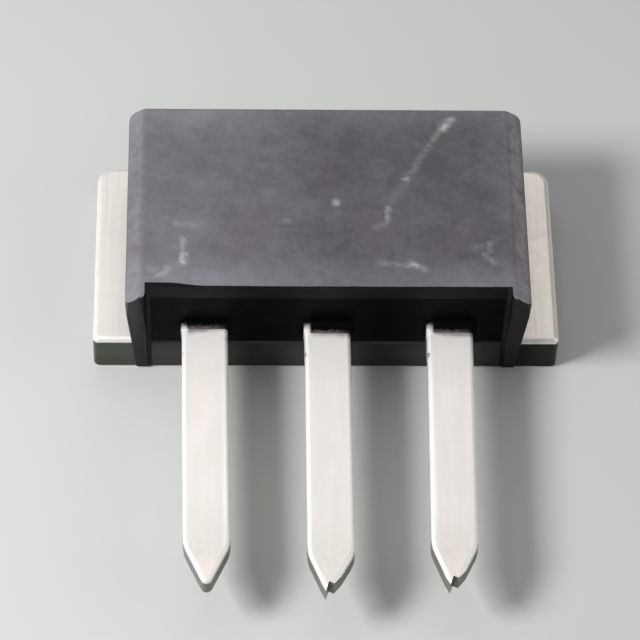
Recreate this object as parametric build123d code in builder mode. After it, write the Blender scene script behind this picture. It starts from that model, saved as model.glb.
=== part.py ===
"""Three-lead power Schottky diode: two chips on a copper base plate, potted in a plastic case.

Millimetres. The origin is the centre of the base plate's underside, +Z is up through the
case, the three leads point along -Y and the plate's two tabs stick out along X.
"""

import os

from build123d import *

os.makedirs("parts", exist_ok=True)

# Base plate, a flat slab of plated copper that is wider than the case
tab_length = 1.4  # how far the plate sticks out at each side of the case
plate_depth = 9.2
plate_thickness = 1.85
plate_tuck = 0.2  # how far the plate's rear edge reaches under the case's rear wall
plate_rear_corner = 0.75
plate_front_corner = 0.25
plate_top_round = 0.24
plate_bottom_break = 0.08

# Case, a moulded cover that is open at the front and at the bottom
case_width = 16.7
case_height = 3.75  # above the plate's top face
lid_thickness = 0.75
side_wall = 0.85  # at the shoulders, where the walls are thickest
rear_wall = 0.55
wall_draft = 0.4  # how far the side walls draw in at their feet
wall_lift = 0.1  # the walls' feet stop this far above the plate's underside
shoulder_width = 0.65
shoulder_drop = 0.45
shoulder_round = 0.45
rear_round = 0.3
rear_corner = 0.4
cavity_corner = 0.3

# Ears, where the side walls reach past the lid
ear_length = 0.6
ear_toe_length = 0.08  # what is left of that at the walls' feet
ear_nose_round = 0.35
ear_root_round = 0.2
ear_top_round = 0.2

# Leads, tinned copper strip
lead_pitch = 5.08
lead_width = 1.9
lead_thickness = 0.8
blade_length = 10.77  # from the front of the case to where the point starts
centre_blade_extra = 0.4  # how much later the centre lead's point starts
lead_rise = 0.45  # from the plate's top face to the leads' undersides outside the case
lead_edge_round = 0.18
point_length = 2.1
point_round = 0.24
point_shoulder_round = 1.5
nick_radius = 0.16  # marks of the tie bars that once joined the leads
nick_depth = 0.09
near_nick_setback = 0.8  # from the front of the case
far_nick_setback = 1.55
left_lean = 0.15  # sideways lean of each outer lead where its point starts, from handling
right_lean = -0.17

# Torn points of the centre and right leads, where the shear left a spike and a tooth.
# Offsets run sideways from the lead's middle, setbacks run back from the tooth.
centre_tooth_reach = 1.41  # from where the point starts
right_tooth_reach = 1.55
centre_spike = 0.3  # past the tooth
right_spike = 0.25
tear_left_offset = -0.42
tear_left_setback = 0.08
spike_offset = -0.25
notch_offset = -0.12
notch_setback = 0.1
tooth_offset = 0.08
tear_right_offset = 0.4
tear_right_setback = 0.4

# Inner end of each lead, a step and then a foot
step_setback = 1.1
step_run = 0.8
step_bend = 0.8
foot_side_clearance = 0.25  # side gap from a foot to the end of its solder
foot_length = 3.6
anode_foot_width = 3.2
cathode_foot_width = 3.0
foot_corner = 0.3

# Chips and solder
die_size = 4.2
die_wall_clearance = 0.42  # from each chip to the case's side wall
die_thickness = 0.25
die_setback = 5.0  # from the plate's front edge to the centre of each chip
solder_thickness = 0.06
solder_spread = 0.15
solder_corner = 0.3

# Potting compound, which climbs each lead in a collar
collar_root = 0.2
collar_waist = 0.08
collar_skin = 0.03
left_collar_reach = 0.3
centre_collar_reach = 0.5
right_collar_reach = 0.45
collar_corner = 0.1

# Levels and planes that follow from the sizes above
front_y = -plate_depth / 2
rear_inner_y = plate_depth / 2 - plate_tuck
rear_y = rear_inner_y + rear_wall
ear_front_y = front_y - ear_length
case_top_z = plate_thickness + case_height
cavity_height = case_height - lid_thickness
inner_width = case_width - 2 * side_wall
plate_width = case_width + 2 * tab_length
die_x = inner_width / 2 - die_wall_clearance - die_size / 2
lead_bottom_z = plate_thickness + lead_rise
die_bottom_z = plate_thickness + solder_thickness
die_top_z = die_bottom_z + die_thickness
anode_foot_z = die_top_z + solder_thickness
cathode_foot_z = plate_thickness + solder_thickness
die_y = front_y + die_setback
point_start_y = front_y - blade_length
centre_point_start_y = point_start_y - centre_blade_extra


# Base plate
with BuildPart() as base_plate:
    with BuildSketch() as plate_plan:
        Rectangle(plate_width, plate_depth)
        fillet(plate_plan.vertices().group_by(Axis.Y)[-1], plate_rear_corner)
        fillet(plate_plan.vertices().group_by(Axis.Y)[0], plate_front_corner)
    extrude(amount=plate_thickness)
    fillet(base_plate.faces().sort_by(Axis.Z)[-1].edges(), plate_top_round)
    chamfer(base_plate.faces().sort_by(Axis.Z)[0].edges(), plate_bottom_break)

base_plate.part.label = "base_plate"
export_step(base_plate.part, "parts/base_plate.step")


# Hollow of the case above the plate, which the potting compound fills
with BuildPart() as cavity:
    with BuildSketch(Plane.XY.offset(plate_thickness)) as cavity_plan:
        with Locations((0, (front_y + rear_inner_y) / 2)):
            Rectangle(inner_width, rear_inner_y - front_y)
        fillet(cavity_plan.vertices().group_by(Axis.Y)[-1], cavity_corner)
    extrude(amount=cavity_height)


# Case
with BuildPart() as case:
    # Front view, run from the ears' tips to the rear: bevelled shoulders and leaning walls
    with BuildSketch(Plane.XZ.offset(-ear_front_y)) as front_view:
        with BuildLine():
            Polyline(
                (0, wall_lift),
                (case_width / 2 - wall_draft, wall_lift),
                (case_width / 2, case_top_z - shoulder_drop),
                (case_width / 2 - shoulder_width, case_top_z),
                (0, case_top_z),
            )
            mirror(about=Plane.YZ)
        make_face()
        fillet(front_view.vertices().group_by(Axis.Y)[-2:], shoulder_round)
    extrude(amount=ear_front_y - rear_y)
    # Plan view: rounded rear corners, and an ear with a rounded nose at each side of the lid
    with BuildSketch() as plan_view:
        with Locations((0, (ear_front_y + rear_y) / 2)):
            Rectangle(case_width, rear_y - ear_front_y)
        fillet(plan_view.vertices().group_by(Axis.Y)[-1], rear_corner)
        with Locations((0, (ear_front_y + front_y) / 2)):
            Rectangle(inner_width, ear_length, mode=Mode.SUBTRACT)
        fillet(plan_view.vertices().group_by(Axis.Y)[0], ear_nose_round)
        fillet(plan_view.vertices().sort_by(lambda v: abs(v.Y - front_y))[:2], ear_root_round)
    extrude(amount=case_top_z, mode=Mode.INTERSECT)
    fillet(case.faces().sort_by(Axis.Z)[-1].edges().filter_by(Axis.X).sort_by(Axis.Y)[-1], rear_round)
    # Side view: the ears slope back from their rounded tops to their toes
    with BuildSketch(Plane.YZ) as side_view:
        with BuildLine():
            Polyline(
                (rear_y, wall_lift),
                (rear_y, case_top_z),
                (ear_front_y, case_top_z),
                (front_y - ear_toe_length, wall_lift),
                close=True,
            )
        make_face()
        fillet(side_view.vertices().sort_by(Axis.X)[0], ear_top_round)
    extrude(amount=case_width, both=True, mode=Mode.INTERSECT)
    # Seat of the base plate, open at both sides
    with BuildSketch():
        Rectangle(plate_width, plate_depth)
    extrude(amount=plate_thickness, mode=Mode.SUBTRACT)
    add(cavity.part, mode=Mode.SUBTRACT)

case.part.label = "case"
export_step(case.part, "parts/case.step")


def solder_pad(label, x, bottom_z, width, length, spread):
    """A thin pad of solder, wider by spread at its foot than the face that it wets above."""
    with BuildPart() as pad:
        with BuildSketch(Plane.XY.offset(bottom_z)):
            with Locations((x, die_y)):
                RectangleRounded(width + 2 * spread, length + 2 * spread, solder_corner + spread)
        with BuildSketch(Plane.XY.offset(bottom_z + solder_thickness)):
            with Locations((x, die_y)):
                RectangleRounded(width, length, solder_corner)
        loft()
    pad.part.label = label
    export_step(pad.part, f"parts/{label}.step")
    return pad.part


def chip(label, side):
    """One silicon chip, on the side -1 or 1 of the middle."""
    with BuildPart() as die:
        with BuildSketch(Plane.XY.offset(die_bottom_z)):
            with Locations((side * die_x, die_y)):
                Rectangle(die_size, die_size)
        extrude(amount=die_thickness)
    die.part.label = label
    export_step(die.part, f"parts/{label}.step")
    return die.part


def blade(x, lean, shoulder_y, point):
    """The part of a lead outside the case, with a point and rounded upper rims."""
    half_width = lead_width / 2
    with BuildPart() as strip:
        with BuildSketch(Plane.XY.offset(lead_bottom_z)) as plan:
            with BuildLine():
                Polyline(
                    (x - half_width, front_y),
                    (x + lean - half_width, shoulder_y),
                    *point,
                    (x + lean + half_width, shoulder_y),
                    (x + half_width, front_y),
                    close=True,
                )
            make_face()
            fillet(plan.vertices().sort_by(lambda v: abs(v.Y - shoulder_y))[:2], point_shoulder_round)
            if len(point) == 1:
                fillet(plan.vertices().sort_by(Axis.Y)[0], point_round)
        extrude(amount=lead_thickness)
        # The rims run on round the shoulders and along the flanks of the point
        fillet(strip.faces().sort_by(Axis.Z)[-1].edges().sort_by(SortBy.LENGTH)[-2:], lead_edge_round)
    return strip.part


def lead(label, x, outer_blade, foot_x, foot_width, foot_z, nicks):
    """A whole lead: its blade outside the case, then a step and a foot inside it."""
    foot_rear_y = die_y + foot_length / 2
    centre_z = lead_bottom_z + lead_thickness / 2
    with BuildPart() as strip:
        # Side view: the strip steps up or down to its foot
        with BuildSketch(Plane.YZ.offset(x)):
            with BuildLine():
                FilletPolyline(
                    (front_y, centre_z),
                    (front_y + step_setback, centre_z),
                    (front_y + step_setback + step_run, foot_z + lead_thickness / 2),
                    (foot_rear_y, foot_z + lead_thickness / 2),
                    radius=step_bend,
                )
            trace(line_width=lead_thickness)
        extrude(amount=lead_pitch / 2, both=True)
        # Plan view: cuts the strip to its own width and to the foot's
        with BuildSketch():
            with Locations((x, (front_y + die_y) / 2)):
                Rectangle(lead_width, die_y - front_y)
            with Locations((foot_x, die_y)):
                RectangleRounded(foot_width, foot_length, foot_corner)
        extrude(amount=case_top_z, mode=Mode.INTERSECT)
        add(outer_blade)
        # Half-round nicks in the blade's long edges
        nick_offset = lead_width / 2 + nick_radius - nick_depth
        with BuildSketch():
            for side, setback in nicks:
                with Locations((x + side * nick_offset, front_y - setback)):
                    Circle(nick_radius)
        extrude(amount=case_top_z, mode=Mode.SUBTRACT)
    strip.part.label = label
    export_step(strip.part, f"parts/{label}.step")
    return strip.part


def torn_point(x, tooth_y, spike):
    """Corners of a sheared point, from left to right: a spike, a notch and a tooth."""
    return [
        (x + tear_left_offset, tooth_y + tear_left_setback),
        (x + spike_offset, tooth_y - spike),
        (x + notch_offset, tooth_y + notch_setback),
        (x + tooth_offset, tooth_y),
        (x + tear_right_offset, tooth_y + tear_right_setback),
    ]


def collar(x, reach):
    """Potting compound that has climbed a lead, drawn out to a thin skin at its end."""
    with BuildPart() as climb:
        for distance, margin in ((0, collar_root), (reach / 3, collar_waist), (reach, collar_skin)):
            width = lead_width + 2 * margin
            height = lead_thickness + 2 * margin
            with BuildSketch(Plane.XZ.offset(distance - front_y)):
                with Locations((x, lead_bottom_z + lead_thickness / 2)):
                    RectangleRounded(width, height, collar_corner + margin)
        loft()
    return climb.part


# Solder under the chips, and the chips
die_solder_left = solder_pad("die_solder_left", -die_x, plate_thickness, die_size, die_size, solder_spread)
die_solder_right = solder_pad("die_solder_right", die_x, plate_thickness, die_size, die_size, solder_spread)
schottky_die_left = chip("schottky_die_left", -1)
schottky_die_right = chip("schottky_die_right", 1)

# Leads. A nick is given as the side it is on, -1 or 1, and its distance from the case.
clean_point = [(left_lean - lead_pitch, point_start_y - point_length)]
left_blade = blade(-lead_pitch, left_lean, point_start_y, clean_point)
centre_point = torn_point(0, centre_point_start_y - centre_tooth_reach, centre_spike)
centre_blade = blade(0, 0, centre_point_start_y, centre_point)
right_point = torn_point(lead_pitch + right_lean, point_start_y - right_tooth_reach, right_spike)
right_blade = blade(lead_pitch, right_lean, point_start_y, right_point)
anode_lead_left = lead(
    "anode_lead_left",
    -lead_pitch,
    left_blade,
    -die_x,
    anode_foot_width,
    anode_foot_z,
    [(-1, far_nick_setback), (1, near_nick_setback)],
)
cathode_lead = lead(
    "cathode_lead",
    0,
    centre_blade,
    0,
    cathode_foot_width,
    cathode_foot_z,
    [(-1, far_nick_setback)],
)
anode_lead_right = lead(
    "anode_lead_right",
    lead_pitch,
    right_blade,
    die_x,
    anode_foot_width,
    anode_foot_z,
    [(-1, far_nick_setback)],
)

# Solder under the leads' feet
pad_length = foot_length - 2 * foot_side_clearance
anode_pad_width = anode_foot_width - 2 * foot_side_clearance
cathode_pad_width = cathode_foot_width - 2 * foot_side_clearance
anode_solder_left = solder_pad("anode_solder_left", -die_x, die_top_z, anode_pad_width, pad_length, 0)
anode_solder_right = solder_pad("anode_solder_right", die_x, die_top_z, anode_pad_width, pad_length, 0)
cathode_solder = solder_pad(
    "cathode_solder", 0, plate_thickness, cathode_pad_width, pad_length, solder_spread
)

# Potting compound: the whole hollow and the collars, less everything that it surrounds
with BuildPart() as potting_compound:
    add(cavity.part)
    add(collar(-lead_pitch, left_collar_reach))
    add(collar(0, centre_collar_reach))
    add(collar(lead_pitch, right_collar_reach))
    add(
        [
            die_solder_left,
            die_solder_right,
            schottky_die_left,
            schottky_die_right,
            anode_lead_left,
            cathode_lead,
            anode_lead_right,
            anode_solder_left,
            anode_solder_right,
            cathode_solder,
        ],
        mode=Mode.SUBTRACT,
    )

potting_compound.part.label = "potting_compound"
export_step(potting_compound.part, "parts/potting_compound.step")
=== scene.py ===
"""Looks of a three-lead power Schottky diode: plastic, potting compound and tin plating."""

import math
from collections import namedtuple
from functools import reduce

import bpy
from mathutils import Matrix, Vector


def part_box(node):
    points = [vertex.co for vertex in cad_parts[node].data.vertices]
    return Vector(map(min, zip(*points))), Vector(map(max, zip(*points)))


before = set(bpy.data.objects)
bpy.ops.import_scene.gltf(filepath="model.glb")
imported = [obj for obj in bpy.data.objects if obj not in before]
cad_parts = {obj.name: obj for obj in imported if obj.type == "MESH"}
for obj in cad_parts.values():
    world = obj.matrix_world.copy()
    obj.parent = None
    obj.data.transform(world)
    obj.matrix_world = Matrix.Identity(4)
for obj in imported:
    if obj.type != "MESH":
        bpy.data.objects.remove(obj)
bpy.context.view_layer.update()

# Sizes on the part and in the shader maths are in millimetres, everything else is in metres
MM = 0.001


def corners_mm(node):
    """Lowest and highest corner of a CAD node."""
    return [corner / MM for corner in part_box(node)]


CASE_HIGH = corners_mm("case")[1]
PLATE_LOW, PLATE_HIGH = corners_mm("base_plate")
MOUTH_Y = PLATE_LOW.y  # front of the plate, of the lid's edge and of the compound between the ears
HOLLOW_HALF_WIDTH = corners_mm("potting_compound")[1].x
LEAD_TOP = corners_mm("cathode_lead")[1].z
LEAD_PITCH = 5.08
LEAD_HALF_WIDTH = 0.95

# Each lead: the middle of its root, how far its collar of compound reaches out of the case, how far
# out and how slanted the torn end of the film on it is, and how much copper shows at its tip
Lead = namedtuple("Lead", "root_x collar_reach film_reach film_slope tip_warmth")
LEADS = {
    "anode_lead_left": Lead(-LEAD_PITCH, 0.3, 0.45, 0.15, 0.4),
    "cathode_lead": Lead(0.0, 0.5, 0.62, -0.04, 0.0),
    "anode_lead_right": Lead(LEAD_PITCH, 0.45, 0.6, -0.1, 0.15),
}

# Marks on the lid: where each starts and ends, how wide its halo is and how pale its middle is
LONG_SCRATCH = [
    ((5.3, 4.24), (4.95, 3.8), 0.39, 0.7),
    ((4.95, 3.8), (4.5, 3.24), 0.32, 0.3),
    ((4.4, 3.0), (3.5, 1.3), 0.42, 0.15),
    ((3.34, 1.09), (3.32, 1.05), 0.4, 0.5),
    ((3.2, 0.8), (2.75, -0.1), 0.53, 0.08),
    ((2.53, -0.45), (2.48, -1.2), 0.29, 0.32),
    ((2.35, -1.35), (2.0, -1.5), 0.42, 0.13),
]
LEFT_SCUFFS = [
    ((-6.29, -1.34), (-5.45, -1.44), 0.33, 0.16),
    ((-6.4, -2.6), (-6.2, -2.65), 0.31, 0.14),
    ((-6.01, -2.09), (-5.98, -2.92), 0.29, 0.38),
    ((-5.98, -2.95), (-5.97, -3.32), 0.39, 0.65),
    ((-6.62, -3.7), (-6.66, -3.8), 0.39, 0.45),
    ((-6.8, -3.9), (-7.0, -4.05), 0.33, 0.28),
    ((-7.3, -3.65), (-7.1, -3.75), 0.31, 0.18),
]
RIGHT_SCUFFS = [
    ((2.14, -3.28), (3.2, -3.48), 0.36, 0.22),
    ((3.45, -3.43), (3.55, -3.45), 0.42, 0.65),
    ((3.7, -3.52), (4.0, -3.68), 0.31, 0.24),
    ((5.9, -2.6), (6.3, -2.45), 0.39, 0.12),
    ((6.66, -2.3), (6.64, -2.7), 0.3, 0.26),
    ((6.43, -2.89), (6.81, -3.32), 0.32, 0.2),
]
DENTS = [
    ((0.36, -0.19), (0.38, -0.2), 0.36, 0.58),
    ((-1.7, -1.16), (-1.68, -1.18), 0.34, 0.18),
]

# Camera: raised and turned a little, well back from the leads
ELEVATION = math.radians(54.0)
TURN = math.radians(2.84)
ROLL = math.radians(2.51)
CAMERA_DISTANCE = 0.1436
FOCAL_LENGTH = 189.7
SENSOR_WIDTH = 36.0
NEAR_CLIP = 0.001
AIM_SIDEWAYS = -0.00031
AIM_BEHIND_MOUTH = 0.00241

# Sockets of a Mix node that mixes colours
MIX_FACTOR, MIX_FIRST, MIX_SECOND, MIX_RESULT = 0, 6, 7, 2


def tone(red, green, blue):
    """A colour given as display values from 0 to 255, made linear for the shader."""

    def linear(value):
        share = value / 255
        return share / 12.92 if share <= 0.04045 else ((share + 0.055) / 1.055) ** 2.4

    return (linear(red), linear(green), linear(blue), 1.0)


# Case plastic: as moulded, paler in mottles and with painted light on the lid and the right shoulder,
# and where it is rubbed or scratched to dust
PLASTIC = tone(80, 78, 82)
PALE_MOTTLE_AND_PAINTED_LIGHT = tone(121, 120, 125)
BROWN_TINGE = tone(112, 98, 105)
RUBBED_LEFT = tone(142, 140, 145)
# Paler on the right: painted light on the right shoulder on top of the rubbing
RUBBED_AND_PAINTED_LIGHT_RIGHT = tone(152, 147, 149)
PLASTIC_DUST = tone(180, 178, 181)

# Painted shade on the ears: on their fronts, darker on the right, toward the left foot and beside the
# hollow, and on the inner faces of their noses
LEFT_EAR_PAINTED_SHADE = tone(50, 53, 49)
LEFT_EAR_FOOT_PAINTED_SHADE = tone(18, 20, 18)
RIGHT_EAR_PAINTED_SHADE = tone(9, 9, 8)
EAR_PAINTED_SHADE_BESIDE_HOLLOW = tone(9, 9, 9)
EAR_INNER_NOSE_PAINTED_SHADE = tone(12, 12, 12)

# Potting compound: as cast, and thinned to a skin or film on the leads; then a darker band along the
# lid's front edge, and painted shade on the plate's front between the ears
COMPOUND = tone(3, 3, 3)
COMPOUND_STREAK = tone(12, 11, 11)
DARK_LID_FRONT = tone(6, 5, 6)
DARK_LID_FRONT_STREAK = tone(17, 16, 16)
SKIN_ON_LEAD = tone(112, 105, 108)
FILM_ON_LEAD = tone(120, 110, 115)
FILM_AT_ROOT = tone(18, 16, 18)
PLATE_FRONT_PAINTED_SHADE = tone(32, 32, 29)
PLATE_FRONT_TOP_PAINTED_SHADE = tone(16, 15, 15)

# Tin plating: its warm and cool grain, where it is dimpled, worn or cut, painted light near the lead
# roots, painted highlights on the rims, and painted reflection and shade on the plate's front sides and
# round the points
WARM_TIN = tone(234, 225, 219)
COOL_TIN = tone(225, 224, 219)
BARE_TIN = tone(226, 221, 216)
LEAD_PATCH = tone(237, 233, 229)
ROOT_PAINTED_LIGHT = tone(253, 251, 249)
LEAD_RIM_HIGHLIGHT = tone(250, 251, 246)
LEAD_EDGE_HIGHLIGHT = tone(252, 253, 249)
DIMPLE = tone(214, 210, 204)
DULL_POINT = tone(218, 214, 207)
COPPER_TINGE = tone(250, 229, 222)
CUT_FLANK = tone(222, 219, 213)
POINT_FLANK_PAINTED_REFLECTION = tone(84, 87, 78)
PLATE_CRYSTAL = tone(254, 250, 243)
RIGHT_TAB_TINGE = tone(255, 243, 231)
ROLLED_LINE = tone(218, 210, 204)
PLATE_RIM_HIGHLIGHT = tone(250, 249, 244)
SHEARED_SIDE = tone(136, 134, 128)
FRONT_SIDE_PAINTED_REFLECTION_LEFT = tone(80, 86, 75)
FRONT_SIDE_PAINTED_SHADE_RIGHT = tone(32, 35, 30)
TORN_SIDE = tone(60, 61, 55)


class Wire:
    """An output socket of a shader node. Arithmetic on it adds Math nodes."""

    def __init__(self, finish, socket):
        self.finish = finish
        self.socket = socket

    def math(self, operation, *values):
        return self.finish.node("ShaderNodeMath", {"operation": operation}, values)

    def __add__(self, other):
        return self.math("ADD", self, other)

    def __sub__(self, other):
        return self.math("SUBTRACT", self, other)

    def __rsub__(self, other):
        return self.math("SUBTRACT", other, self)

    def __mul__(self, other):
        return self.math("MULTIPLY", self, other)

    def __abs__(self):
        return self.math("ABSOLUTE", self)

    __radd__ = __add__
    __rmul__ = __mul__

    def larger(self, other):
        return self.math("MAXIMUM", self, other)

    def smaller(self, other):
        return self.math("MINIMUM", self, other)

    def step(self, start, stop):
        """0 where the value is at start and 1 at stop, with a smooth change between them."""
        settings = {"interpolation_type": "SMOOTHSTEP"}
        inputs = {"Value": self, "From Min": start, "From Max": stop}
        return self.finish.node("ShaderNodeMapRange", settings, inputs)


class Finish:
    """A material while it is being made, with the place and facing of its surface."""

    def __init__(self, name, **constants):
        self.material = bpy.data.materials.new(name)
        self.material.use_nodes = True
        self.tree = self.material.node_tree
        self.shader = self.tree.nodes["Principled BSDF"]
        for key, value in constants.items():
            self.shader.inputs[key.replace("_", " ")].default_value = value
        source = self.tree.nodes.new("ShaderNodeTexCoord")
        self.position = self.vector("SCALE", Wire(self, source.outputs["Object"]), 1 / MM)
        self.x, self.y, self.z = self.split(self.position)
        self.sideways, self.forwards, self.upwards = self.split(Wire(self, source.outputs["Normal"]))

    def node(self, kind, settings, inputs, output=0):
        """Add a node: its settings first, then the value or link of each socket."""
        made = self.tree.nodes.new(kind)
        for key, value in settings.items():
            setattr(made, key, value)
        pairs = inputs.items() if isinstance(inputs, dict) else enumerate(inputs)
        for key, value in pairs:
            if isinstance(value, Wire):
                self.tree.links.new(value.socket, made.inputs[key])
            else:
                made.inputs[key].default_value = value
        return Wire(self, made.outputs[output])

    def vector(self, operation, first, second, output=0):
        second_socket = "Scale" if operation == "SCALE" else 1
        inputs = {0: first, second_socket: second}
        return self.node("ShaderNodeVectorMath", {"operation": operation}, inputs, output)

    def split(self, wire):
        return [self.node("ShaderNodeSeparateXYZ", {}, [wire], axis) for axis in range(3)]

    def noise(self, per_mm, detail=3.0, roughness=0.55, offset=(0.0, 0.0, 0.0), output="Fac"):
        """Noise about 0.5, with this many blotches to the millimetre along X, Y and Z."""
        stretched = self.vector("MULTIPLY", self.position, per_mm)
        moved = self.vector("ADD", stretched, offset)
        inputs = {"Vector": moved, "Scale": 1.0, "Detail": detail, "Roughness": roughness}
        return self.node("ShaderNodeTexNoise", {}, inputs, output)

    def wobble(self, reach, per_mm):
        """The place on the surface, shaken by up to about this many millimetres."""
        shake = self.noise((per_mm, per_mm, per_mm), 1.0, output="Color")
        centred = self.vector("SUBTRACT", shake, (0.5, 0.5, 0.5))
        return self.vector("ADD", self.position, self.vector("SCALE", centred, 2 * reach))

    def blend(self, first, second, factor):
        """A colour between two colours."""
        inputs = {MIX_FACTOR: factor, MIX_FIRST: first, MIX_SECOND: second}
        return self.node("ShaderNodeMix", {"data_type": "RGBA"}, inputs, MIX_RESULT)

    def right_half(self):
        """0 on the left of the part and 1 on its right, with a change of 2 mm at the middle."""
        return self.x.step(-1.0, 1.0)

    def line(self, place, start, end, width, strength):
        """Mask of a straight mark on the lid, strongest along its middle."""
        offset = self.vector("SUBTRACT", place, (*start, CASE_HIGH.z))
        run = Vector((*end, 0)) - Vector((*start, 0))
        direction = tuple(run.normalized())
        along = self.vector("DOT_PRODUCT", offset, direction, "Value")
        nearest = along.larger(0.0).smaller(run.length)
        foot = self.vector("SCALE", direction, nearest)
        away = self.vector("DISTANCE", offset, foot, "Value")
        core = away.step(width, 0.0)
        return core * core * strength

    def paint(self, **wires):
        """Drive the shader's own sockets."""
        for key, wire in wires.items():
            self.tree.links.new(wire.socket, self.shader.inputs[key.replace("_", " ")])

    def relief(self, height, depth):
        """Bump of this depth in millimetres where the height goes from 0 to 1."""
        self.paint(Normal=self.node("ShaderNodeBump", {}, {"Height": height, "Distance": depth * MM}))


def mottled_plastic_and_painted_light(finish, cloud, blotch, speck):
    """Mottled plastic, paler toward both ends and along the long edges; the paler left half is painted
    light, the lamp on the left falling off across the lid.
    """
    x, y = finish.x, finish.y
    # Painted light: the left half of the lid is painted paler, as the lamp on the left lights it
    ends = x.step(1.0, -6.0) * 0.42 + x.step(6.0, CASE_HIGH.x) * 0.25
    long_edges = y.step(MOUTH_Y + 2.0, MOUTH_Y) * 0.4 + y.step(CASE_HIGH.y - 2.2, CASE_HIGH.y) * 0.35
    mottle = (cloud - 0.5) * 0.8 + (blotch - 0.5) * 0.55 + (speck - 0.5) * 0.6
    body = finish.blend(PLASTIC, PALE_MOTTLE_AND_PAINTED_LIGHT, mottle + ends + long_edges + 0.1)
    hue = finish.noise((0.45, 0.3, 0.4), 3.0, 0.5, (7.0, 3.0, 1.0))
    return finish.blend(body, BROWN_TINGE, hue.step(0.48, 0.72) * 0.15)


def rubbed_edges(finish, blotch, speck):
    """Mask of the rounded edges, which face between two of the axes and are rubbed paler."""
    flatness = abs(finish.sideways).larger(abs(finish.forwards)).larger(abs(finish.upwards))
    worn = blotch * 0.7 + speck * 0.5
    high_up = finish.z.step(PLATE_HIGH.z, CASE_HIGH.z)
    return flatness.step(0.985, 0.8) * worn.step(0.2, 0.95) * high_up


def lid_marks(finish):
    """Mask of the lid's scratches, scuffs and dents, which show light plastic dust."""
    on_lid = finish.upwards.step(0.85, 0.98) * finish.z.step(CASE_HIGH.z - 0.3, CASE_HIGH.z - 0.1)
    broken = finish.noise((4.5, 4.5, 4.5), 3.0, 0.6, (2.0, 5.0, 0.0)).step(0.32, 0.66)
    shaken = finish.wobble(0.12, 3.0)
    lines = [finish.line(shaken, *mark) for mark in LONG_SCRATCH + LEFT_SCUFFS + RIGHT_SCUFFS + DENTS]
    return reduce(Wire.larger, lines) * (broken * 0.75 + 0.45) * on_lid


def dark_lid_front_band(finish):
    """Mask of a darker band along the lid's front edge between the ears, with a ragged edge that
    reaches further back on the left.
    """
    wander = finish.noise((0.4, 1.5, 1.5), 2.0, 0.5, (1.0, 0.0, 4.0)) - 0.5
    left_reach = finish.x.step(-HOLLOW_HALF_WIDTH * 0.67, -HOLLOW_HALF_WIDTH * 0.88) * 0.17
    in_mouth = abs(finish.x).step(HOLLOW_HALF_WIDTH + 0.05, HOLLOW_HALF_WIDTH)
    return (finish.y + wander * 0.1 - left_reach).step(MOUTH_Y + 0.08, MOUTH_Y + 0.04) * in_mouth


def ears_with_painted_shade(finish, body, dark_front):
    """Painted shade on the ears' fronts and on the inner faces of their noses."""
    beside_hollow = abs(finish.x).step(HOLLOW_HALF_WIDTH + 0.55, HOLLOW_HALF_WIDTH + 0.05)
    left_foot = finish.z.step(4.0, 1.5) * (1 - finish.right_half())
    # Painted shade: the right ear is darker, the left one darker toward its foot, and both darker
    # beside the hollow
    painted_ear_shade = finish.blend(LEFT_EAR_PAINTED_SHADE, RIGHT_EAR_PAINTED_SHADE, finish.right_half())
    painted_ear_shade = finish.blend(painted_ear_shade, LEFT_EAR_FOOT_PAINTED_SHADE, left_foot * 0.85)
    painted_ear_shade = finish.blend(painted_ear_shade, EAR_PAINTED_SHADE_BESIDE_HOLLOW, beside_hollow)
    front = finish.forwards.step(-0.35, -0.8) * (1 - dark_front)
    body = finish.blend(body, painted_ear_shade, front * 0.9)

    # Painted shade on the inner faces of the noses, in the recess beside the hollow
    inward = (finish.sideways * finish.x).step(0.0, -1.5)
    inner_side = abs(finish.x).step(HOLLOW_HALF_WIDTH + 0.3, HOLLOW_HALF_WIDTH + 0.1)
    past_lid = finish.y.step(MOUTH_Y, MOUTH_Y - 0.08)
    return finish.blend(body, EAR_INNER_NOSE_PAINTED_SHADE, inner_side * past_lid * inward)


def case_plastic():
    """Dark grey moulded plastic, rubbed and scuffed, darker along its front edge between the ears, with
    painted light on the lid and the right shoulder and painted shade on the ears.
    """
    finish = Finish("case_plastic", Specular_IOR_Level=0.15)
    cloud = finish.noise((0.28, 0.4, 0.4), 4.0, 0.6)
    blotch = finish.noise((1.3, 1.3, 1.3), 3.0, 0.6, (0.0, 8.0, 0.0))
    speck = finish.noise((4.2, 4.2, 4.2), 3.0, 0.7)
    grain = finish.noise((14.0, 14.0, 14.0), 2.0)
    streak = finish.noise((0.35, 3.0, 3.0), 4.0, 0.6)
    marks = lid_marks(finish)
    dark_front = dark_lid_front_band(finish)

    body = mottled_plastic_and_painted_light(finish, cloud, blotch, speck)
    # Rubbed edges, with painted light making them paler and stronger toward the right shoulder
    rub_and_painted_light_colour = finish.blend(RUBBED_LEFT, RUBBED_AND_PAINTED_LIGHT_RIGHT, finish.right_half())
    rub_and_painted_light_strength = 0.45 + finish.right_half() * 0.55
    body = finish.blend(body, rub_and_painted_light_colour, rubbed_edges(finish, blotch, speck) * rub_and_painted_light_strength)
    body = finish.blend(body, PLASTIC_DUST, marks)
    # A darker band, with streaks, along the lid's front edge between the ears
    body = finish.blend(body, finish.blend(DARK_LID_FRONT, DARK_LID_FRONT_STREAK, streak.step(0.4, 0.8)), dark_front)
    body = ears_with_painted_shade(finish, body, dark_front)

    finish.paint(Base_Color=body, Roughness=0.62 - 0.12 * dark_front + (blotch - 0.5) * 0.2 + 0.15 * marks)
    finish.relief(grain * 0.2 + speck * 0.15 + cloud * 0.25 - marks * 0.6, 0.02)
    return finish.material


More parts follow.
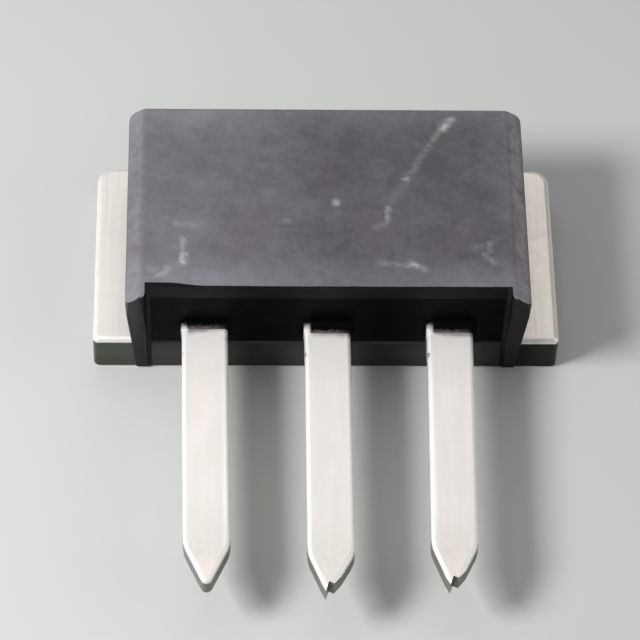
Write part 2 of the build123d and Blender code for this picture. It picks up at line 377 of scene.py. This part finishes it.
def compound_on_lead(finish, lead, y):
    """Masks of the thin skin at the collar's end and of the lead's left edge, which is left bare."""
    across = finish.x - lead.root_x
    collar_end = MOUTH_Y - lead.collar_reach
    near_lead = abs(across).step(LEAD_HALF_WIDTH + 0.35, LEAD_HALF_WIDTH + 0.15)
    fading_right = across.step(LEAD_HALF_WIDTH + 0.15, 0.1)
    skin = y.step(collar_end + 0.18, collar_end) * fading_right * near_lead
    left_edge = across.step(-0.66, -0.8) * across.step(-LEAD_HALF_WIDTH - 0.05, -LEAD_HALF_WIDTH)
    bare = left_edge * y.step(MOUTH_Y - 0.05, MOUTH_Y - 0.4)
    return skin, bare


def cast_compound():
    """Black potting compound, semi-gloss and streaky, drawn out to a grey skin on the leads."""
    finish = Finish("cast_compound", Specular_IOR_Level=0.05)
    streak = finish.noise((0.3, 2.2, 2.2), 4.0, 0.6, (3.0, 1.0, 0.0))
    ripple = finish.noise((0.6, 1.4, 1.1), 3.0, 0.5)
    speck = finish.noise((6.0, 6.0, 6.0), 3.0)
    ragged_y = finish.y + (speck - 0.5) * 0.25
    skins, bare_edges = zip(*(compound_on_lead(finish, lead, ragged_y) for lead in LEADS.values()))
    skin = sum(skins)
    bare = sum(bare_edges) * finish.z.step(LEAD_TOP - 0.7, LEAD_TOP - 0.3)

    body = finish.blend(COMPOUND, COMPOUND_STREAK, streak.step(0.5, 0.8))
    body = finish.blend(body, SKIN_ON_LEAD, skin * 0.65)
    body = finish.blend(body, BARE_TIN, bare)
    finish.paint(Base_Color=body, Roughness=0.35 + speck * 0.15 + skin * 0.2)
    finish.relief(ripple * 0.8 + speck * 0.2, 0.05)
    return finish.material


def tin_colour(finish, grain):
    """Tin plating that turns between a warm and a cool white with its grain."""
    return finish.blend(WARM_TIN, COOL_TIN, grain.step(0.35, 0.65))


def rolled_lead_face(finish, across, drawn, patch):
    """Tin with draw lines along the lead, with painted light near the root and painted highlights on
    the rims.
    """
    near_root = finish.y.step(MOUTH_Y - 2.6, MOUTH_Y - 0.5)
    rims = abs(across).step(LEAD_HALF_WIDTH - 0.25, LEAD_HALF_WIDTH - 0.05)
    body = tin_colour(finish, drawn)
    body = finish.blend(body, LEAD_PATCH, patch.step(0.45, 0.75) * 0.5)
    # Painted light near the root, against the shade of the case
    body = finish.blend(body, ROOT_PAINTED_LIGHT, near_root * 0.8)
    # Painted highlight along the rims
    return finish.blend(body, LEAD_RIM_HIGHLIGHT, rims * 0.6)


def worn_point(finish, body, dimples, tip_y, tip_warmth):
    """The point, dimpled and dulled by the punch that cut it, with copper showing at its tip."""
    front_painted_dark = finish.y.step(tip_y + 4.0, tip_y + 1.5)
    coppery = finish.y.step(tip_y + 1.3, tip_y + 0.7)
    body = finish.blend(body, DIMPLE, dimples * 0.55)
    body = finish.blend(body, DULL_POINT, front_painted_dark * 0.5)
    return finish.blend(body, COPPER_TINGE, coppery * tip_warmth)


def torn_film(finish, lead, across):
    """Mask of the film of compound that has run along the lead, except for its left edge."""
    ragged = finish.noise((2.5, 2.5, 2.5), 3.0, 0.6, (lead.root_x, 0.0, 5.0)) - 0.5
    film_end = across * lead.film_slope + ragged * 0.25 + (MOUTH_Y - lead.film_reach)
    clean_edge = across.step(-0.62, -0.76)
    return (finish.y - film_end).step(-0.2, 0.15) * (1 - clean_edge)


def tinned_lead(node):
    """Tin plating on a lead: bright rolled faces, painted highlights on the rounded edges, duller
    flanks, and a painted reflection of dark surroundings on the flanks round the point.
    """
    lead = LEADS[node]
    tip_y = corners_mm(node)[0].y
    finish = Finish(f"tin_on_{node}")
    across = finish.x - lead.root_x
    drawn = finish.noise((3.2, 0.14, 3.2), 4.0, 0.55, (lead.root_x, 0.0, 0.0))
    hairline = finish.noise((22.0, 0.5, 22.0), 2.0, 0.5)
    patch = finish.noise((0.9, 0.45, 0.9), 3.0, 0.5, (lead.root_x, 2.0, 0.0))
    pits = finish.noise((3.6, 3.6, 3.6), 1.0, 0.5).step(0.4, 0.8)
    dimples = pits * finish.y.step(tip_y + 3.4, tip_y + 1.4)
    rounded = finish.upwards.step(0.2, 0.45) * finish.upwards.step(0.99, 0.9)
    cut = abs(finish.upwards).step(0.3, 0.1)
    point_flank = cut * finish.y.step(tip_y + 2.5, tip_y + 1.9)
    darkening = torn_film(finish, lead, across)
    at_root = finish.y.step(MOUTH_Y - 0.45, MOUTH_Y - 0.15)
    film_colour = finish.blend(FILM_ON_LEAD, FILM_AT_ROOT, at_root)

    body = rolled_lead_face(finish, across, drawn, patch)
    body = worn_point(finish, body, dimples, tip_y, lead.tip_warmth)
    # Painted highlight on the rounded edges
    body = finish.blend(body, LEAD_EDGE_HIGHLIGHT, rounded * 0.8)
    body = finish.blend(body, CUT_FLANK, cut * 0.8)
    # Painted reflection of dark surroundings on the flanks round the point
    body = finish.blend(body, POINT_FLANK_PAINTED_REFLECTION, point_flank * (0.95 - hairline * 0.2))
    body = finish.blend(body, film_colour, darkening * 0.9)

    satin = 0.45 + (drawn - 0.5) * 0.2 + dimples * 0.1 - cut * 0.1 + darkening * 0.1
    shine = (0.4 + cut * 0.25 - point_flank * 0.4) * (1 - darkening)
    finish.paint(Base_Color=body, Roughness=satin, Metallic=shine)
    finish.relief(drawn * 0.5 + hairline * 0.25 + patch * 0.5 - dimples * 0.5 + darkening * 0.5, 0.012)
    return finish.material


def rolled_plate_face(finish, crystal, patch):
    """Tin with a crystal grain and faint rolling lines, a little warmer on the right tab."""
    rolled = finish.noise((7.0, 0.2, 7.0), 3.0, 0.55)
    body = tin_colour(finish, patch * 0.6 + crystal * 0.4)
    body = finish.blend(body, PLATE_CRYSTAL, crystal * 0.4 + 0.6)
    body = finish.blend(body, RIGHT_TAB_TINGE, finish.right_half() * 0.6)
    return finish.blend(body, ROLLED_LINE, rolled.step(0.45, 0.85) * 0.45)


def sheared_sides(finish, body, side, torn, shear_lines):
    """The plate's sides: burnished above, torn and darker below, and painted dark at the front, a
    painted reflection of dark surroundings that is darker on the right as painted shade.
    """
    front_side = side * finish.forwards.step(-0.4, -0.8)
    # Painted reflection of dark surroundings on the front sides, with painted shade darkening the right
    # one
    front_painted_dark = finish.blend(FRONT_SIDE_PAINTED_REFLECTION_LEFT, FRONT_SIDE_PAINTED_SHADE_RIGHT, finish.right_half())
    body = finish.blend(body, SHEARED_SIDE, side * 0.9)
    body = finish.blend(body, front_painted_dark, front_side * 0.95)
    return finish.blend(body, TORN_SIDE, torn * shear_lines.step(0.2, 0.8) * 0.35)


def plated_base():
    """Satin tin plating on the base plate, with painted highlights on its rims and painted shade over
    its front between the ears, darkest along the top of that front.
    """
    finish = Finish("tin_on_base_plate")
    crystal = finish.noise((3.0, 3.0, 3.0), 4.0, 0.6)
    patch = finish.noise((0.5, 0.35, 0.5), 3.0, 0.5, (4.0, 0.0, 0.0))
    shear_lines = finish.noise((4.0, 4.0, 0.6), 4.0, 0.6)
    run = finish.noise((1.1, 1.1, 1.1), 3.0, 0.6) - 0.5
    rim = finish.upwards.step(0.15, 0.4) * finish.upwards.step(0.995, 0.93)
    side = abs(finish.upwards).step(0.35, 0.1)
    torn = side * (finish.z + (shear_lines - 0.5) * 0.5).step(0.95, 0.4)
    between_ears = abs(finish.x).step(HOLLOW_HALF_WIDTH + 0.25, HOLLOW_HALF_WIDTH - 0.1)
    # Painted shade: the front between the ears is painted dark and less metallic, standing in for dark
    # surroundings mirrored in it
    darkening = between_ears * finish.forwards.step(-0.3, -0.8)
    at_mouth = finish.y.step(MOUTH_Y + 0.6, MOUTH_Y + 0.3)
    # Painted shade, darker still, along the top of that front between the ears
    front_top_shade = between_ears * at_mouth * (finish.z + run * 0.5).step(0.9, 1.5)

    body = rolled_plate_face(finish, crystal, patch)
    # Painted highlight on the rounded rims
    body = finish.blend(body, PLATE_RIM_HIGHLIGHT, rim * 0.7)
    body = sheared_sides(finish, body, side, torn, shear_lines)
    body = finish.blend(body, PLATE_FRONT_PAINTED_SHADE, darkening * 0.95)
    body = finish.blend(body, PLATE_FRONT_TOP_PAINTED_SHADE, front_top_shade * 0.9)

    satin = 0.42 + (crystal - 0.5) * 0.2 + torn * 0.15
    bare_shine = 0.85 + finish.right_half() * 0.12 - torn * 0.1 - rim * 0.35
    finish.paint(Base_Color=body, Roughness=satin, Metallic=bare_shine * (1 - front_top_shade) * (1 - darkening))
    finish.relief(crystal * 0.4 + patch * 0.5 + shear_lines * side * 0.4, 0.015)
    return finish.material


def chip_silicon():
    """Polished silicon with faint lapping marks."""
    finish = Finish("chip_silicon")
    lapping = finish.noise((0.8, 14.0, 0.8), 3.0)
    finish.paint(
        Base_Color=finish.blend(tone(88, 92, 102), tone(112, 116, 126), lapping),
        Roughness=0.15 + lapping * 0.1,
        Metallic=0.6 + lapping * 0.1,
    )
    finish.relief(lapping, 0.002)
    return finish.material


def soft_solder():
    """Dull silver solder with a frosty grain."""
    finish = Finish("soft_solder")
    frost = finish.noise((4.0, 4.0, 4.0), 4.0)
    finish.paint(
        Base_Color=finish.blend(tone(170, 170, 172), tone(204, 204, 206), frost),
        Roughness=0.3 + frost * 0.25,
        Metallic=0.9 + frost * 0.1,
    )
    finish.relief(frost, 0.01)
    return finish.material


def dress_nodes():
    """Give each CAD node its finish."""
    silicon = chip_silicon()
    solder = soft_solder()
    finishes = {
        "base_plate": plated_base(),
        "case": case_plastic(),
        "potting_compound": cast_compound(),
        "anode_lead_left": tinned_lead("anode_lead_left"),
        "cathode_lead": tinned_lead("cathode_lead"),
        "anode_lead_right": tinned_lead("anode_lead_right"),
        "schottky_die_left": silicon,
        "schottky_die_right": silicon,
        "die_solder_left": solder,
        "die_solder_right": solder,
        "anode_solder_left": solder,
        "anode_solder_right": solder,
        "cathode_solder": solder,
    }
    for node, material in finishes.items():
        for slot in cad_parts[node].material_slots:
            slot.material = material


def add_floor(half_width):
    """Pale, faintly mottled floor that the base plate lies on."""
    finish = Finish("pale_floor", Roughness=0.8)
    mottle = finish.noise((0.08, 0.08, 0.08), 3.0)
    finish.paint(Base_Color=finish.blend(tone(188, 190, 188), tone(194, 195, 194), mottle))
    mesh = bpy.data.meshes.new("floor")
    corners = [(-half_width, -half_width, 0), (half_width, -half_width, 0)]
    corners += [(half_width, half_width, 0), (-half_width, half_width, 0)]
    mesh.from_pydata(corners, [], [(0, 1, 2, 3)])
    mesh.materials.append(finish.material)
    floor = bpy.data.objects.new("floor", mesh)
    bpy.context.scene.collection.objects.link(floor)


def add_camera():
    """Camera that looks down on the lid and the leads from the front."""
    spin = Matrix.Rotation(-TURN, 4, "Z")
    right = spin @ Vector((1, 0, 0))
    forward = spin @ Vector((0, math.cos(ELEVATION), -math.sin(ELEVATION)))
    upward = spin @ Vector((0, math.sin(ELEVATION), math.cos(ELEVATION)))
    rolled_right = math.cos(ROLL) * right + math.sin(ROLL) * upward
    rolled_up = math.cos(ROLL) * upward - math.sin(ROLL) * right
    aim = Vector((0, MOUTH_Y * MM, 0)) + spin @ Vector((AIM_SIDEWAYS, AIM_BEHIND_MOUTH, 0))
    data = bpy.data.cameras.new("camera")
    data.lens = FOCAL_LENGTH
    data.sensor_width = SENSOR_WIDTH
    data.clip_start = NEAR_CLIP
    camera = bpy.data.objects.new("camera", data)
    turned = Matrix((rolled_right, rolled_up, -forward)).transposed().to_4x4()
    camera.matrix_world = Matrix.Translation(aim - CAMERA_DISTANCE * forward) @ turned
    bpy.context.scene.collection.objects.link(camera)
    bpy.context.scene.camera = camera


def add_lamp(name, place, size, power):
    """A square soft lamp that faces the part."""
    data = bpy.data.lights.new(name, "AREA")
    data.size = size
    data.energy = power
    lamp = bpy.data.objects.new(name, data)
    lamp.location = place
    lamp.rotation_euler = (-Vector(place)).to_track_quat("-Z", "Y").to_euler()
    bpy.context.scene.collection.objects.link(lamp)


def add_room_light(strength):
    """Even white light from all round."""
    world = bpy.data.worlds.new("room")
    world.use_nodes = True
    background = world.node_tree.nodes["Background"]
    background.inputs["Color"].default_value = (1, 1, 1, 1)
    background.inputs["Strength"].default_value = strength
    bpy.context.scene.world = world


dress_nodes()
add_floor(half_width=1.0)
add_camera()
add_lamp("window", place=(-0.08, -0.03, 0.085), size=0.035, power=0.155)
add_lamp("softbox", place=(-0.03, 0.13, 0.27), size=0.3, power=0.2)
add_lamp("reflector", place=(0.13, -0.03, 0.09), size=0.1, power=0.05)
add_room_light(0.2)
bpy.context.scene.view_settings.view_transform = "Standard"
